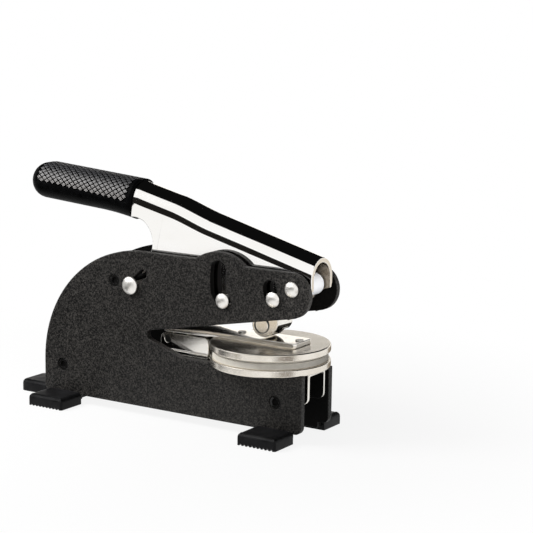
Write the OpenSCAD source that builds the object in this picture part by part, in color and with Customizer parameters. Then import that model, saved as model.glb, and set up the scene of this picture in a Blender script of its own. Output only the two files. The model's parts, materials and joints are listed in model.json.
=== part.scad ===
// Desk embosser: two side plates on rubber feet, a lever with a press link, a sliding lock pin
// and a hinged insert that carries two round die holders. Drawn closed, with the lever down.
// X runs from the tail to the nose, the right side is at -Y and the table is Z = 0.

/* [Frame] */
// Length of a side plate along the table
plate_len = 114.3; // [112:0.1:117]
// Width over the outer faces of the side plates
frame_w = 21.5; // [20.8:0.1:24]
// Sheet thickness of the side plates
plate_t = 2.6; // [2.2:0.1:2.8]
// Height of the straight top edge
plate_top = 61.4; // [60.6:0.1:62.5]
// Radius of the rear arch
arch_r = 45.6; // [44.5:0.1:46]
// Height of the plates' bottom edge
plate_bottom = 3.4; // [3.3:0.1:3.8]

/* [Feet] */
// Length of a boot along its plate
foot_len = 15.8; // [14:0.1:17]
// How far a boot reaches out from its plate
foot_out = 11.9; // [9:0.1:14]
// Height of a boot
foot_h = 4.4; // [4:0.1:5]
// Number of grooves under a boot
foot_grooves = 9; // [5:1:12]
// How far the tail boot reaches behind the plates
tail_reach = 15.6; // [14.5:0.1:18]
// Width of the tail boot
tail_w = 14; // [12:0.1:15]

/* [Lever] */
// Outside width of the lever channel
lever_w = 14.4; // [13.6:0.1:14.6]
// Wall of the lever channel
lever_wall = 1.8; // [1.5:0.05:1.9]
// Slope of the lever bar when it is down, in degrees
bar_tilt = 14.9; // [14:0.1:15.6]
// Slope of the grip when the lever is down, in degrees
grip_tilt = 4.45; // [3:0.05:6]
// Length of the grip sleeve
grip_len = 49.8; // [44:0.1:54]
// Width of the grip sleeve
grip_w = 16.8; // [16.4:0.1:19]
// Height of the grip sleeve
grip_h = 13.6; // [13.4:0.1:15]
// Lift of the lever from down to up, in degrees
lift = 22; // [14:0.5:23]

/* [Pins] */
// Radius of the lever's pivot pin
pivot_r = 1.9; // [1.5:0.05:2.2]
// Radius of the press pin and the guide pin
pin_r = 1.4; // [1.1:0.05:1.45]
// Radius of the domed pin heads
head_r = 2.75; // [2.5:0.05:3]
// Radius of the lock knobs
knob_r = 3.3; // [2.8:0.05:3.5]
// Travel of the lock pin
lock_travel = 7; // [6:0.1:7.4]
// Radius of the spacer rods
spacer_r = 3; // [2.6:0.1:3.2]

/* [Die insert] */
// Radius of the die holders
holder_r = 21.6; // [19:0.1:22.5]
// Thickness of a die holder
holder_t = 2.6; // [2.3:0.1:2.7]
// Thickness of the embossing die
die_t = 0.5; // [0.4:0.02:0.6]
// Thickness of the counter die
counter_t = 2.22; // [2:0.02:2.3]
// Width of the insert arms
arm_w = 11.6; // [11:0.1:12.4]
// Sheet thickness of the insert arms
arm_t = 1.2; // [0.9:0.05:1.3]

/* [Hidden] */
$fn = 72;

// Fits: free gap between moving pieces, gap of the closed dies, running fit, and seat between fixed pieces
free_gap = 0.3;
close_gap = 0.15;
run_gap = 0.05;
seat_gap = 0.02;
through = 1;

half_w = frame_w / 2;
plate_in = half_w - plate_t;

// Side plate: arch, hump, nose and throat as centres and radii in the X-Z plane
arch_c = [arch_r, plate_top - arch_r];
arch_lap = 0.8;
corner_r = 2;
front_corner_r = 2.5;
jaw_z = 24.4;
jaw_start_x = 63.5;
nose_back = 5.7;
nose_z = 52.4;
nose_c = [plate_len - nose_back, nose_z];
nose_r = 8.15;
hump_back = 35;
hump_r = 15.75;
hump_rise = 3.4;
hump_c = [plate_len - hump_back, plate_top + hump_rise - hump_r];
tip_x = 50;
tip_z = 31;
tip_c = [tip_x, tip_z];
tip_r = 1.8;
tip_to_nose = nose_c - tip_c;
throat_tilt = atan2(tip_to_nose.y, tip_to_nose.x) - asin((nose_r + tip_r) / norm(tip_to_nose));
jaw_to_tip = tip_c - [jaw_start_x, jaw_z];
jaw_edge_turn = atan2(jaw_to_tip.y, jaw_to_tip.x) + asin(tip_r / norm(jaw_to_tip));

// Pins: the press pin and the guide pin swing about the pivot
pivot_back = 4.5;
pivot_z = 54.75;
pivot = [plate_len - pivot_back, pivot_z];
press_arm = 8.6;
press_turn = 210.4;
guide_arm = 29.3;
guide_turn = 194.35;
press = on_ring(pivot, press_arm, press_turn);
guide = on_ring(pivot, guide_arm, guide_turn);
press_slot_half = 2.7;
press_slot_shift = 0.5;
press_slot_spare = 5;
guide_slot_half = 3.2;
guide_slot_shift = 1.45;
guide_slot_short = 0.8;
guide_bend = 6.3;
guide_end_half = 3;
head_h = 1.5;
head_rim = 0.35;

// Lock pin: start and end of its slanted path
lock_r = 1.3;
lock_turn = 41;
lock_x = 41;
lock_z = 48.5;
lock_from = [lock_x, lock_z];
lock_to = on_ring(lock_from, lock_travel, lock_turn);
knob_h = 2.1;
knob_rim = 0.8;

// Frame screws and spacers
rear_screw_x = 8.7;
rear_screw_z = 14.3;
top_screw_x = 33.15;
top_screw_z = 49.4;
front_screw_back = 10.8;
front_screw_z = 13.8;
rear_screw = [rear_screw_x, rear_screw_z];
top_screw = [top_screw_x, top_screw_z];
front_screw = [plate_len - front_screw_back, front_screw_z];
screw_points = [rear_screw, top_screw, front_screw];
screw_r = 1.45;
screw_head_r = 2.25;
screw_head_h = 0.9;
screw_sink = 0.35;
screw_depth = 5;
socket_r = 1.3;
socket_depth = 0.6;

// Feet, the tabs inside them and the tail bracket
rear_foot_x = 9.6;
front_foot_back = 10.85;
front_foot_x = plate_len - front_foot_back;
boot_wall = 1.4;
tab_len = foot_len - 2 * boot_wall;
tab_out = foot_out - boot_wall;
tab_z = 1.3;
tab_t = 1.8;
boot_edge_r = 1.1;
groove_depth = 0.7;
tail_corner_r = 2.5;
tongue_w = tail_w - 2 * boot_wall;
bracket_t = 1.5;
bracket_rear = 2.5;
bracket_len = 12.5;
bracket_top = 20;

// Lever: the bar's axis starts at the nose and climbs to the rear
lever_r = lever_w / 2;
lever_in = lever_r - lever_wall;
lever_ahead = 1.2;
lever_front = plate_len + lever_ahead;
bar_top_front = 65.1;
bar_axis = [lever_front, bar_top_front] - lever_r * [sin(bar_tilt), cos(bar_tilt)];
grip_front_x = 38.6;
bar_ahead = 25;
bar_spare = 12;
bar_behind = (lever_front - grip_front_x) / cos(bar_tilt) + bar_spare;
wall_drop = 60;
wall_z = 44.2;
wall_front_z = 46.2;
notch_ahead = 3.4;
notch_z = 42.4;
notch_r = 11.4;
wall_step_back = 8;
wall_step_x = press.x - wall_step_back;
wall_step = 4;
lobe_gap = 0.9;
lobe_x = lock_from.x + lock_r + lobe_gap;
lobe_r = 4;
scoop_r = 8.45;

// Grip: a local frame at the sleeve's front end, X forward along the sleeve
grip_sink = 6.1;
bar_top_at_grip = bar_top_front + (lever_front - grip_front_x) * tan(bar_tilt);
grip_c = [grip_front_x, bar_top_at_grip - grip_sink];
grip_ahead = [cos(grip_tilt), -sin(grip_tilt)];
grip_up = [sin(grip_tilt), cos(grip_tilt)];
grip_end_r = 5;
grip_side_r = 6;
scoop_ahead = 0.9;
scoop_drop = 6.7;
scoop_c = [grip_front_x + scoop_ahead, grip_c.y - scoop_drop - scoop_r];
tang_r = 6;
tang_wall = 1.8;
tang_drop = 4.1;
tang_rise = -0.5;
tang_short = 9;
tang_len = grip_len - tang_short;
tang_ahead = 2.5;
bar_lap = 0.15;
bar_cut = grip_c + bar_lap * grip_ahead;

// Press link: cheeks between the lever's walls, a front web and a round toe
cheek_gap = 0.35;
cheek_out = lever_in - cheek_gap;
cheek_t = 1.2;
link_eye_r = 3;
toe_back = 20.1;
toe_z = 39.3;
toe_c = [plate_len - toe_back, toe_z];
toe_cheek_r = 4.1;
web_back = 13.5;
web_front_x = plate_len - web_back;
web_bend_r = 3.2;
web_bend_z = 40.3;
web_bend = [web_front_x - web_bend_r, web_bend_z];
web_curl = 48;
web_top = 46;
toe_rivet_r = 1.6;
toe_rivet_head_r = 2.9;
toe_rivet_proud = 0.25;

// Nylon bush on the pivot pin
bush_r = 3.9;
bush_half = lever_in - free_gap;
bush_edge = 0.6;

// Die insert: heights stack up from the lower jaw
holder_back = 19.5;
holder_x = plate_len - holder_back;
lower_z = jaw_z + seat_gap;
counter_z = lower_z + holder_t + seat_gap;
upper_die_z = counter_z + counter_t + close_gap;
upper_z = upper_die_z + die_t + seat_gap;
holder_edge = 0.3;
die_step = 0.9;
die_r = holder_r - die_step;
die_edge = 0.15;
arm_half = arm_w / 2;
arm_rest_z = upper_z + holder_t + seat_gap;
arm_h = 1.9;
arm_top = arm_rest_z + arm_h;
arm_front_back = 5.8;
arm_front_x = plate_len - arm_front_back;
arm_bend_back = 2.2;
arm_bend_x = holder_x - holder_r - arm_bend_back;
arm_rear_top = 33.2;
arm_corner_r = 1.2;
toe_gap = 0.25;
toe_r = toe_c.y - arm_top - toe_gap;

hinge_x = 54;
hinge_z = 29.3;
hinge = [hinge_x, hinge_z];
hinge_r = 1.25;
arm_rear_lap = 1.5;
arm_rear_x = hinge_x - arm_rear_lap;
lug_r = 2.4;
lug_half = 1.4;
lug_gap = 0.25;
cheek_rear_lap = 3.2;
cheek_rear_x = hinge_x - cheek_rear_lap;
cheek_back = 1.2;
cheek_front_x = holder_x - holder_r - cheek_back;
cheek_top = 31.6;
cheek_corner_r = 2.2;
pad_step = 0.6;
pad_half = arm_half + pad_step;
pad_z = 24.2;
pad_t = 1.4;
pad_rear = 1;
drop_t = 2;
channel_z = 13.2;
channel_rear_reach = 8;
channel_front_back = 0.1;
channel_front_x = plate_len - channel_front_back;
channel_web_z = lower_z - seat_gap - arm_t;
rivet_r = 1.1;
rivet_head_r = 1.5;
rivet_head_h = 0.35;
rivet_reach = 12;

// Middle of the overall length, which stands over the origin
grip_rear_x = grip_c.x - grip_len * cos(grip_tilt) - grip_h / 2 * sin(grip_tilt);
rear_x = min(-tail_reach, grip_rear_x);
front_x = max(nose_c.x + nose_r, holder_x + holder_r);
mid_x = (rear_x + front_x) / 2;

function on_ring(c, r, turn) = c + r * [cos(turn), sin(turn)];

// Corners of the straight belt that touches two circles
function belt(p, r, q, s) =
    let (d = q - p, along = atan2(d.y, d.x), open = acos((r - s) / norm(d)))
    [on_ring(p, r, along + open), on_ring(q, s, along + open),
     on_ring(q, s, along - open), on_ring(p, r, along - open)];

// Moves a piece from plate coordinates to the origin under the middle of the length
module placed() {
    translate([-mid_x, 0, 0]) children();
}

module both_sides() {
    children();
    mirror([0, 1, 0]) children();
}

// Stands a flat X-Z outline up between two Y planes
module slab(y_from, y_to) {
    translate([0, y_to, 0]) rotate([90, 0, 0]) linear_extrude(y_to - y_from) children();
}

// Round rod across the frame at a point of the X-Z plane
module cross_rod(p, r, y_from, y_to) {
    translate([p.x, y_to, p.y]) rotate([90, 0, 0]) cylinder(r = r, h = y_to - y_from);
}

// Domed head on a short rim, pointing to +Y
module dome_head(p, r, h, rim, y) {
    ball_r = (r * r + (h - rim) * (h - rim)) / (2 * (h - rim));
    intersection() {
        translate([p.x, y + h - ball_r, p.y]) sphere(r = ball_r);
        cross_rod(p, r, y, y + h);
    }
}

// Curved slot; its round ends are a hair wider, so that they cross its sides cleanly
module arc_slot(c, r, from, to, half) {
    far = 2 * r;
    middle = (from + to) / 2;
    intersection() {
        translate(c) difference() {
            circle(r + half);
            circle(r - half);
        }
        polygon([c, on_ring(c, far, from), on_ring(c, far, middle), on_ring(c, far, to)]);
    }
    for (turn = [from, to]) translate(on_ring(c, r, turn)) circle(half + seat_gap);
}

module straight_slot(p, q, half) {
    polygon(belt(p, half, q, half));
    for (c = [p, q]) translate(c) circle(half + seat_gap);
}

// Guide slot: an arc about the pivot that bends forward to the pin's place at rest
module guide_slot() {
    r = guide_arm + guide_slot_shift;
    bend_turn = guide_turn - guide_bend;
    arc_slot(pivot, r, bend_turn, guide_turn - lift + guide_slot_short, guide_slot_half);
    polygon(belt(on_ring(pivot, r, bend_turn), guide_slot_half, guide, guide_end_half));
    translate(guide) circle(guide_end_half + seat_gap);
}

module throat() {
    upper_edge = tip_c + tip_r * [-sin(throat_tilt), cos(throat_tilt)];
    far = plate_len;
    lower_turn = jaw_edge_turn;
    jaw_start = [jaw_start_x, jaw_z];
    lower_edge = on_ring(jaw_start, sqrt(pow(norm(jaw_to_tip), 2) - tip_r * tip_r), lower_turn);
    translate(tip_c) circle(tip_r);
    polygon([
        upper_edge, on_ring(upper_edge, far, throat_tilt), [far * 2, jaw_z], jaw_start, lower_edge
    ]);
}

module plate_outline() {
    far_x = plate_len - front_corner_r;
    difference() {
        union() {
            intersection() {
                translate(arch_c) circle(arch_r, $fn = 180);
                translate([0, arch_c.y]) square(arch_r);
            }
            translate([0, plate_bottom + corner_r])
                square([arch_r, arch_c.y + arch_lap - plate_bottom - corner_r]);
            translate([corner_r, plate_bottom + corner_r]) circle(corner_r);
            translate([corner_r, plate_bottom]) square([far_x - corner_r, jaw_z - plate_bottom]);
            translate([far_x, plate_bottom + front_corner_r]) circle(front_corner_r);
            translate([arch_r, plate_bottom + front_corner_r])
                square([plate_len - arch_r, jaw_z - plate_bottom - front_corner_r]);
            translate([arch_r, jaw_z]) square([hump_c.x - arch_r, plate_top - jaw_z]);
            translate([hump_c.x, jaw_z]) square([nose_c.x - hump_c.x, nose_c.y + nose_r - jaw_z]);
            translate(nose_c) circle(nose_r);
            intersection() {
                translate(hump_c) circle(hump_r);
                translate([hump_c.x - hump_r, hump_c.y]) square(2 * hump_r);
            }
        }
        throat();
        translate(pivot) circle(pivot_r + seat_gap);
        arc_slot(pivot, press_arm + press_slot_shift, press_turn,
            press_turn - lift - press_slot_spare, press_slot_half);
        guide_slot();
        straight_slot(lock_from, lock_to, lock_r + free_gap);
        for (p = screw_points) translate(p) circle(screw_r + run_gap);
    }
}

// A left plate: its outer face is at +Y, and two tabs turn outward at the bottom
module side_plate() {
    difference() {
        union() {
            slab(plate_in, half_w) plate_outline();
            for (x = [rear_foot_x, front_foot_x]) {
                translate([x - tab_len / 2, plate_in, tab_z])
                    cube([tab_len, plate_t + tab_out, tab_t]);
                translate([x - tab_len / 2, plate_in, tab_z])
                    cube([tab_len, plate_t, plate_bottom - tab_z + 0.5]);
            }
        }
        for (p = screw_points)
            cross_rod(p, screw_head_r + 0.15, half_w - screw_sink - screw_head_h, half_w + through);
    }
}

module right_side_plate() {
    color("#2b2a29") placed() mirror([0, 1, 0]) side_plate();
}

module left_side_plate() {
    color("#2b2a29") placed() side_plate();
}

module spacer(p, half) {
    bore_from = half_w - screw_sink - screw_head_h - plate_t - screw_depth;
    difference() {
        cross_rod(p, spacer_r, -half, half);
        both_sides() cross_rod(p, screw_r + seat_gap, bore_from, half + through);
    }
}

module rear_spacer() {
    color("#3a3a3a") placed() spacer(rear_screw, plate_in - seat_gap - bracket_t - seat_gap);
}

module top_spacer() {
    color("#3a3a3a") placed() spacer(top_screw, plate_in - seat_gap);
}

module front_spacer() {
    color("#3a3a3a") placed() spacer(front_screw, plate_in - seat_gap);
}

module frame_screw(p) {
    face = half_w - screw_sink;
    under = face - screw_head_h + seat_gap;
    difference() {
        union() {
            cross_rod(p, screw_head_r, under, face);
            cross_rod(p, screw_r, face - screw_head_h - plate_t - screw_depth + 0.2, face - 0.1);
        }
        translate([p.x, face + through, p.y]) rotate([90, 0, 0])
            cylinder(r = socket_r, h = socket_depth + through, $fn = 6);
    }
}

module right_frame_screws() {
    color("#161616") placed() mirror([0, 1, 0]) for (p = screw_points) frame_screw(p);
}

module left_frame_screws() {
    color("#161616") placed() for (p = screw_points) frame_screw(p);
}

module boot_outline(len) {
    half = len / 2;
    pitch = len / (foot_grooves + 1);
    difference() {
        union() {
            translate([-half, 0]) square([len, foot_h - boot_edge_r]);
            translate([boot_edge_r - half, 0]) square([len - 2 * boot_edge_r, foot_h]);
            for (side = [-1, 1])
                translate([side * (half - boot_edge_r), foot_h - boot_edge_r]) circle(boot_edge_r);
        }
        for (i = [1 : foot_grooves])
            translate([i * pitch - half, 0])
                polygon([[-pitch / 3, -0.1], [pitch / 3, -0.1], [0, groove_depth]]);
    }
}

// Pocket of a boot, a close fit on a tab of the given width
module boot_pocket(width) {
    translate([-width / 2 - run_gap, -through, tab_z - run_gap])
        cube([width + 2 * run_gap, tab_out + run_gap + through, tab_t + 2 * run_gap]);
}

// Rubber boot that slips over a tab and points to +Y
module side_boot(x) {
    translate([x, half_w + seat_gap, 0]) difference() {
        slab(0, foot_out) boot_outline(foot_len);
        boot_pocket(tab_len);
    }
}

module front_right_foot() {
    color("#1c1c1d") placed() mirror([0, 1, 0]) side_boot(front_foot_x);
}

module front_left_foot() {
    color("#1c1c1d") placed() side_boot(front_foot_x);
}

module rear_right_foot() {
    color("#1c1c1d") placed() mirror([0, 1, 0]) side_boot(rear_foot_x);
}

module rear_left_foot() {
    color("#1c1c1d") placed() side_boot(rear_foot_x);
}

// Plan of the tail boot: the two outer corners are rounded
module tail_plan() {
    half = tail_w / 2;
    translate([-half, 0]) square([tail_w, foot_out - tail_corner_r]);
    translate([tail_corner_r - half, 0]) square([tail_w - 2 * tail_corner_r, foot_out]);
    for (side = [-1, 1])
        translate([side * (half - tail_corner_r), foot_out - tail_corner_r]) circle(tail_corner_r);
}

module tail_foot() {
    color("#1c1c1d") placed() translate([foot_out - tail_reach, 0, 0]) rotate([0, 0, 90]) difference() {
        intersection() {
            slab(0, foot_out) boot_outline(tail_w);
            linear_extrude(foot_h) tail_plan();
        }
        boot_pocket(tongue_w);
    }
}

module tail_bracket() {
    out = plate_in - seat_gap;
    round_r = bracket_len / 2;
    tongue_x = tab_out - foot_out + tail_reach;
    color("#2b2a29") placed() difference() {
        union() {
            both_sides() slab(out - bracket_t, out) {
                translate([bracket_rear, tab_z]) square([bracket_len, bracket_top - round_r - tab_z]);
                translate([bracket_rear + round_r, bracket_top - round_r]) circle(round_r);
            }
            translate([bracket_rear, -out, tab_z]) cube([bracket_len, 2 * out, tab_t]);
            translate([-tongue_x, -tongue_w / 2, tab_z])
                cube([tongue_x + bracket_rear + through, tongue_w, tab_t]);
        }
        cross_rod(rear_screw, screw_r + run_gap, -half_w, half_w);
    }
}

module d_section(r, drop) {
    intersection() {
        circle(r);
        translate([-r, 0]) square([2 * r, r]);
    }
    translate([-r, -drop]) square([2 * r, drop]);
}

// Runs a section along the lever bar, up the slope to the rear
module along_bar() {
    translate([bar_axis.x, 0, bar_axis.y]) rotate([0, bar_tilt, 0]) rotate([90, 0, -90])
        translate([0, 0, -bar_ahead]) linear_extrude(bar_ahead + bar_behind) children();
}

module in_grip() {
    translate([grip_c.x, 0, grip_c.y]) rotate([0, grip_tilt, 0]) children();
}

// Runs a section from a start ahead of the sleeve's front end back into the sleeve
module along_grip(ahead, behind) {
    in_grip() translate([ahead, 0, 0]) rotate([90, 0, -90]) linear_extrude(ahead + behind) children();
}

module lever_outline() {
    over = wall_drop / 3;
    difference() {
        union() {
            polygon([
                bar_cut + over * grip_up, [lever_front, bar_top_front + over],
                [lever_front, wall_front_z],
                [wall_step_x, wall_front_z], [wall_step_x - wall_step, wall_z],
                [lobe_x + lobe_r, wall_z], [lobe_x, wall_z + lobe_r],
                [lobe_x, scoop_c.y], bar_cut - bar_spare * grip_up
            ]);
            translate([lobe_x + lobe_r, wall_z + lobe_r]) circle(lobe_r);
        }
        translate([plate_len + notch_ahead, notch_z]) circle(notch_r);
        translate(scoop_c) circle(scoop_r);
        straight_slot(lock_from, lock_to, lock_r + free_gap);
        translate(pivot) circle(pivot_r + run_gap);
        for (p = [press, guide]) translate(p) circle(pin_r + seat_gap);
    }
}

module lever_bar() {
    difference() {
        intersection() {
            along_bar() d_section(lever_r, wall_drop);
            slab(-lever_r, lever_r) lever_outline();
        }
        along_bar() d_section(lever_in, wall_drop + through);
    }
}

module tang_section(r, drop) {
    translate([0, tang_rise]) d_section(r, drop);
}

module lever_tang() {
    difference() {
        along_grip(tang_ahead, tang_len) tang_section(tang_r, tang_drop);
        along_grip(tang_ahead + through, tang_len + through)
            tang_section(tang_r - tang_wall, tang_drop + through);
    }
}

module handle_lever() {
    color("#d9d6d0") placed() {
        lever_bar();
        lever_tang();
    }
}

module grip_section() {
    round_r = grip_h / 2;
    side = grip_w / 2 - round_r;
    translate([-side, -round_r]) square([2 * side, grip_h]);
    for (y = [-side, side]) translate([y, 0]) circle(round_r);
}

// Side view or plan of the sleeve, with its two rear corners rounded
module grip_outline(width, round_r) {
    half = width / 2;
    translate([-grip_len, round_r - half]) square([grip_len, width - 2 * round_r]);
    translate([round_r - grip_len, -half]) square([grip_len - round_r, width]);
    for (side = [-1, 1])
        translate([round_r - grip_len, side * (half - round_r)]) circle(round_r);
}

module handle_grip() {
    color("#1a1a1b") placed() difference() {
        intersection() {
            along_grip(0, grip_len) grip_section();
            in_grip() slab(-grip_w, grip_w) grip_outline(grip_h, grip_end_r);
            in_grip() translate([0, 0, -grip_h]) linear_extrude(2 * grip_h)
                grip_outline(grip_w, grip_side_r);
        }
        along_grip(through, tang_len + run_gap) tang_section(tang_r + run_gap, tang_drop + run_gap);
    }
}

module pivot_pin() {
    color("#c9c5bd") placed() {
        cross_rod(pivot, pivot_r, -half_w - head_rim, half_w + head_rim);
        both_sides() dome_head(pivot, head_r, head_h, head_rim, half_w + seat_gap);
    }
}

module pivot_bush() {
    color("#f4f4f2") placed() translate([pivot.x, 0, pivot.y]) rotate([90, 0, 0]) rotate_extrude()
        polygon([
            [pivot_r + run_gap, -bush_half], [bush_r - bush_edge, -bush_half],
            [bush_r, bush_edge - bush_half], [bush_r, bush_half - bush_edge],
            [bush_r - bush_edge, bush_half], [pivot_r + run_gap, bush_half]
        ]);
}

module slot_pin(p) {
    cross_rod(p, pin_r, -half_w - free_gap - head_rim, half_w + free_gap + head_rim);
    both_sides() dome_head(p, head_r, head_h, head_rim, half_w + free_gap);
}

module press_pin() {
    color("#c9c5bd") placed() slot_pin(press);
}

module guide_pin() {
    color("#c9c5bd") placed() slot_pin(guide);
}

module link_cheek_outline() {
    difference() {
        union() {
            translate(press) circle(link_eye_r);
            translate(toe_c) circle(toe_cheek_r);
            polygon(belt(press, link_eye_r - seat_gap, toe_c, toe_cheek_r - seat_gap));
            translate(web_bend) circle(web_bend_r - seat_gap);
            polygon([toe_c, web_bend, web_bend + [web_bend_r, 0], [web_front_x, web_top], press]);
        }
        translate(press) circle(pin_r + run_gap);
        translate(toe_c) circle(toe_rivet_r + seat_gap);
    }
}

// Front web of the link, curled back under at its lower end
module link_web_outline() {
    reach = 2 * web_bend_r;
    translate([web_front_x - cheek_t, web_bend_z]) square([cheek_t, web_top - web_bend_z]);
    intersection() {
        translate(web_bend) difference() {
            circle(web_bend_r);
            circle(web_bend_r - cheek_t);
        }
        translate(web_bend)
            polygon([[0, 0], [reach, 0], [reach, -reach], [reach * cos(web_curl), -reach * sin(web_curl)]]);
    }
}

module press_link() {
    color("#cfccc6") placed() {
        both_sides() slab(cheek_out - cheek_t, cheek_out) link_cheek_outline();
        slab(-cheek_out, cheek_out) link_web_outline();
    }
}

module press_toe() {
    half = cheek_out - cheek_t - seat_gap;
    color("#bdb9b0") placed() difference() {
        cross_rod(toe_c, toe_r, -half, half);
        cross_rod(toe_c, toe_rivet_r + seat_gap, -half - through, half + through);
    }
}

module toe_rivet() {
    half = cheek_out + toe_rivet_proud;
    color("#cfc4b4") placed() {
        cross_rod(toe_c, toe_rivet_r, -half, half);
        both_sides() cross_rod(toe_c, toe_rivet_head_r, cheek_out + seat_gap, half);
    }
}

module lock_pin() {
    reach = half_w + free_gap + knob_rim;
    color("#c9c5bd") placed() cross_rod(lock_from, lock_r, -reach, reach);
}

module lock_knobs() {
    seat = half_w + free_gap;
    color("#e2e0dc") placed() both_sides() difference() {
        dome_head(lock_from, knob_r, knob_h, knob_rim, seat);
        cross_rod(lock_from, lock_r + seat_gap, seat - through, seat + knob_rim + seat_gap);
    }
}

module lower_flange_outline() {
    difference() {
        union() {
            polygon([
                [cheek_rear_x + drop_t, pad_z - arm_t], [holder_x - channel_rear_reach, channel_z],
                [channel_front_x - front_corner_r, channel_z],
                [channel_front_x, channel_z + front_corner_r],
                [channel_front_x, channel_web_z + arm_t],
                [cheek_front_x, channel_web_z + arm_t], [cheek_front_x, pad_z + pad_t / 2],
                [cheek_rear_x + drop_t, pad_z + pad_t / 2]
            ]);
            translate([channel_front_x - front_corner_r, channel_z + front_corner_r])
                circle(front_corner_r);
        }
        straight_slot(front_screw, front_screw - [0, front_screw_z], spacer_r + 2 * run_gap);
    }
}

module cheek_outline() {
    size_x = cheek_front_x - cheek_rear_x;
    difference() {
        union() {
            translate([cheek_rear_x, pad_z]) square([size_x, cheek_top - cheek_corner_r - pad_z]);
            translate([cheek_rear_x + cheek_corner_r, pad_z])
                square([size_x - 2 * cheek_corner_r, cheek_top - pad_z]);
            for (x = [cheek_rear_x + cheek_corner_r, cheek_front_x - cheek_corner_r])
                translate([x, cheek_top - cheek_corner_r]) circle(cheek_corner_r);
        }
        translate(hinge) circle(hinge_r + seat_gap);
    }
}

module lower_arm() {
    web_x = cheek_front_x - drop_t;
    color("#d2cec6") placed() difference() {
        union() {
            both_sides() slab(arm_half - arm_t, arm_half) {
                lower_flange_outline();
                cheek_outline();
            }
            translate([web_x, -arm_half, channel_web_z])
                cube([channel_front_x - web_x, arm_w, arm_t]);
            translate([cheek_rear_x + pad_rear, -pad_half, pad_z])
                cube([cheek_front_x - cheek_rear_x - pad_rear, 2 * pad_half, pad_t]);
            translate([web_x, -arm_half, channel_web_z])
                cube([drop_t, arm_w, pad_z + pad_t - channel_web_z]);
        }
        rivet_points() translate([0, 0, channel_web_z - through])
            cylinder(r = rivet_r + seat_gap, h = arm_t + 2 * through);
    }
}

// Round plate with small chamfers, on its own axis
module edged_disc(r, t, edge) {
    rotate_extrude($fn = 180) polygon([
        [0, 0], [r - edge, 0], [r, edge], [r, t - edge], [r - edge, t], [0, t]
    ]);
}

module rivet_points() {
    for (side = [-1, 1]) translate([holder_x + side * rivet_reach, 0, 0]) children();
}

module lower_die_holder() {
    color("#c4bcae") placed() difference() {
        translate([holder_x, 0, lower_z]) edged_disc(holder_r, holder_t, holder_edge);
        rivet_points() translate([0, 0, lower_z - through])
            cylinder(r = rivet_r + seat_gap, h = holder_t + 2 * through);
    }
}

module counter_die() {
    color("#dcdad4") placed() translate([holder_x, 0, counter_z]) edged_disc(die_r, counter_t, die_edge);
}

module lower_rivets() {
    color("#b9b4aa") placed() rivet_points() {
        translate([0, 0, channel_web_z - seat_gap - rivet_head_h])
            cylinder(r = rivet_head_r, h = rivet_head_h);
        translate([0, 0, channel_web_z - seat_gap - 0.1])
            cylinder(r = rivet_r, h = lower_z + holder_t - channel_web_z + 0.1);
    }
}

module upper_arm_outline() {
    polygon([
        [arm_rear_x, arm_rear_top], [arm_bend_x, arm_top], [arm_front_x, arm_top],
        [arm_front_x, arm_rest_z], [holder_x - holder_r, arm_rest_z],
        [arm_bend_x, cheek_top + 2 * free_gap], [arm_rear_x, cheek_top + free_gap + run_gap]
    ]);
}

// Hollow of the upper arm: the same outline under the sheet, open at the bottom
module upper_arm_hollow() {
    under = arm_top - arm_t;
    polygon([
        [arm_rear_x - through, arm_rear_top - arm_t], [arm_rear_x, arm_rear_top - arm_t],
        [arm_bend_x, under], [arm_front_x - arm_t, under], [arm_front_x - arm_t, hinge.y],
        [arm_rear_x - through, hinge.y]
    ]);
}

module upper_arm_plan() {
    reach = arm_front_x - arm_corner_r;
    translate([arm_rear_x, -arm_half]) square([reach - arm_rear_x, arm_w]);
    translate([arm_rear_x, arm_corner_r - arm_half])
        square([arm_front_x - arm_rear_x, arm_w - 2 * arm_corner_r]);
    for (side = [-1, 1])
        translate([reach, side * (arm_half - arm_corner_r)]) circle(arm_corner_r);
}

module upper_arm() {
    lug_out = arm_half - arm_t - lug_gap;
    color("#d2cec6") placed() difference() {
        union() {
            difference() {
                intersection() {
                    slab(-arm_half, arm_half) upper_arm_outline();
                    linear_extrude(plate_top) upper_arm_plan();
                }
                slab(arm_t - arm_half, arm_half - arm_t) upper_arm_hollow();
            }
            both_sides() slab(lug_out - arm_t, lug_out) {
                translate(hinge) circle(lug_r);
                translate([hinge.x - lug_half, hinge.y])
                    square([2 * lug_half, arm_rear_top - arm_t / 2 - hinge.y]);
            }
        }
        cross_rod(hinge, hinge_r + run_gap, -arm_half, arm_half);
        rivet_points() translate([0, 0, arm_rest_z])
            cylinder(r = rivet_r + seat_gap, h = arm_top);
    }
}

module upper_die_holder() {
    color("#c4bcae") placed() difference() {
        translate([holder_x, 0, upper_z]) edged_disc(holder_r, holder_t, holder_edge);
        rivet_points() translate([0, 0, upper_z - through])
            cylinder(r = rivet_r + seat_gap, h = holder_t + 2 * through);
    }
}

module embossing_die() {
    color("#dcdad4") placed() translate([holder_x, 0, upper_die_z]) edged_disc(die_r, die_t, die_edge);
}

module upper_rivets() {
    color("#b9b4aa") placed() rivet_points() {
        translate([0, 0, upper_z]) cylinder(r = rivet_r, h = arm_top - upper_z + seat_gap + 0.1);
        translate([0, 0, arm_top + seat_gap]) cylinder(r = rivet_head_r, h = rivet_head_h);
    }
}

module hinge_pin() {
    color("#b9b4aa") placed() cross_rod(hinge, hinge_r, -arm_half, arm_half);
}

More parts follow.
